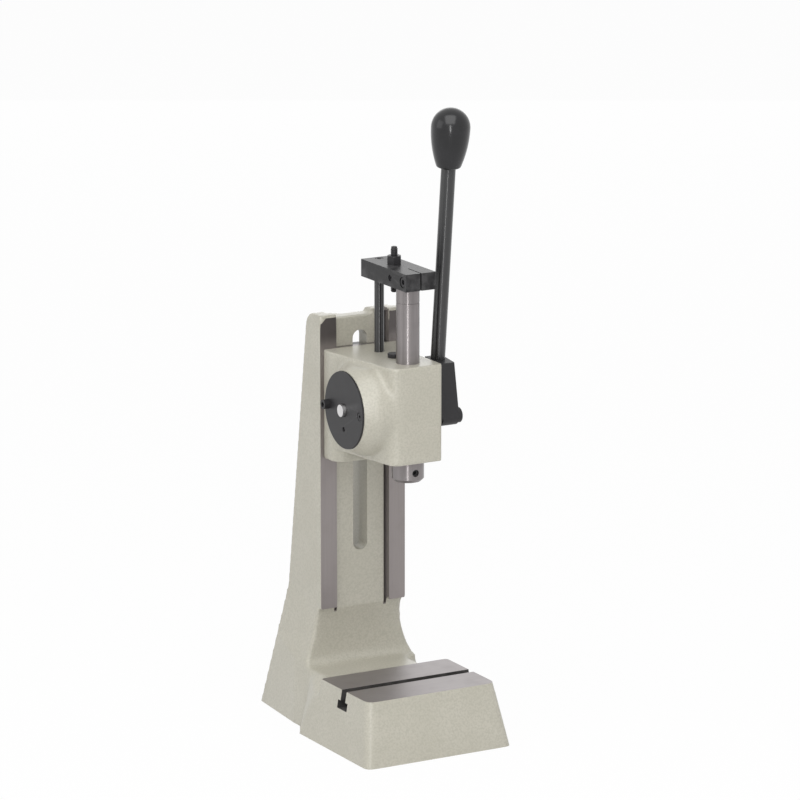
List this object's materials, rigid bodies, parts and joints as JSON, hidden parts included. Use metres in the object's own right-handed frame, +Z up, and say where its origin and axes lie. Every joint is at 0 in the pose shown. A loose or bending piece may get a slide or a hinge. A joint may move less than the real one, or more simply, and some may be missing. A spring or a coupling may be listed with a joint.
{
  "type": "hand press",
  "caption": "Bench hand press: a cast column carries a sliding head whose side lever turns a pinion and drives a round ram down onto a slotted table.",
  "frame": {"origin": "on the bench, directly below the ram's axis", "axes": "+X to the right as seen from the front, +Y to the back, towards the column, +Z up"},
  "size_m": [0.1368, 0.2159, 0.5279],
  "materials": {
    "paint": "light grey-green paint over cast iron, with ground ways and table",
    "bright_steel": "turned and ground steel",
    "black_steel": "black oxide",
    "knob_plastic": "glossy black moulding",
    "bronze": "turned bearing bronze"
  },
  "bodies": {
    "frame": {"frame_casting": "paint"},
    "head": {"head_casting": "paint", "clamp_plate": "black_steel", "clamp_bolts": "black_steel", "clamp_washers": "bright_steel", "pinion_bush_left": "bronze", "pinion_bush_right": "bronze", "return_spring": "bright_steel", "spring_cover": "black_steel", "spring_anchor_screw": "black_steel", "cover_screw": "black_steel", "stop_pad": "black_steel"},
    "lever": {"pinion_shaft": "bright_steel", "pinion_gear": "bright_steel", "pinion_pin": "bright_steel", "drive_disc": "black_steel", "drive_key": "bright_steel", "lever_hub": "black_steel", "lever_lock_screw": "black_steel", "shaft_end_washer": "bright_steel", "shaft_end_screw": "black_steel", "lever_rod": "black_steel", "knob_insert": "bronze", "lever_knob": "knob_plastic"},
    "ram": {"ram": "bright_steel", "tool_collar": "bright_steel", "tool_set_screw": "black_steel", "stop_plate": "black_steel", "plate_clamp_screw": "black_steel", "plate_set_screw": "black_steel", "guide_rod": "black_steel", "guide_rod_screw": "black_steel", "stop_lock_nut": "black_steel"},
    "stop": {"stop_screw": "black_steel"}
  },
  "joints": [
    {"name": "head_height", "type": "slide", "parent": "frame", "child": "head", "axis": [0, 0, 1], "range_m": [-0.08, 0.02]},
    {"name": "lever_swing", "type": "hinge", "parent": "head", "child": "lever", "pos_m": [0, 0.0216, 0.2822], "axis": [1, 0, 0], "range_deg": [0, 130], "stiffness_Nm_per_rad": 0.5, "springref_deg": -85.94},
    {"name": "ram_slide", "type": "slide", "parent": "head", "child": "ram", "axis": [0, 0, -1], "range_m": [0, 0.0345]},
    {"name": "stop_adjust", "type": "slide", "parent": "ram", "child": "stop", "axis": [0, 0, 1], "range_m": [-0.006, 0.006]}
  ],
  "couplings": [
    {"joint": "ram_slide", "follows": "lever_swing", "m_per_rad": 0.015}
  ]
}
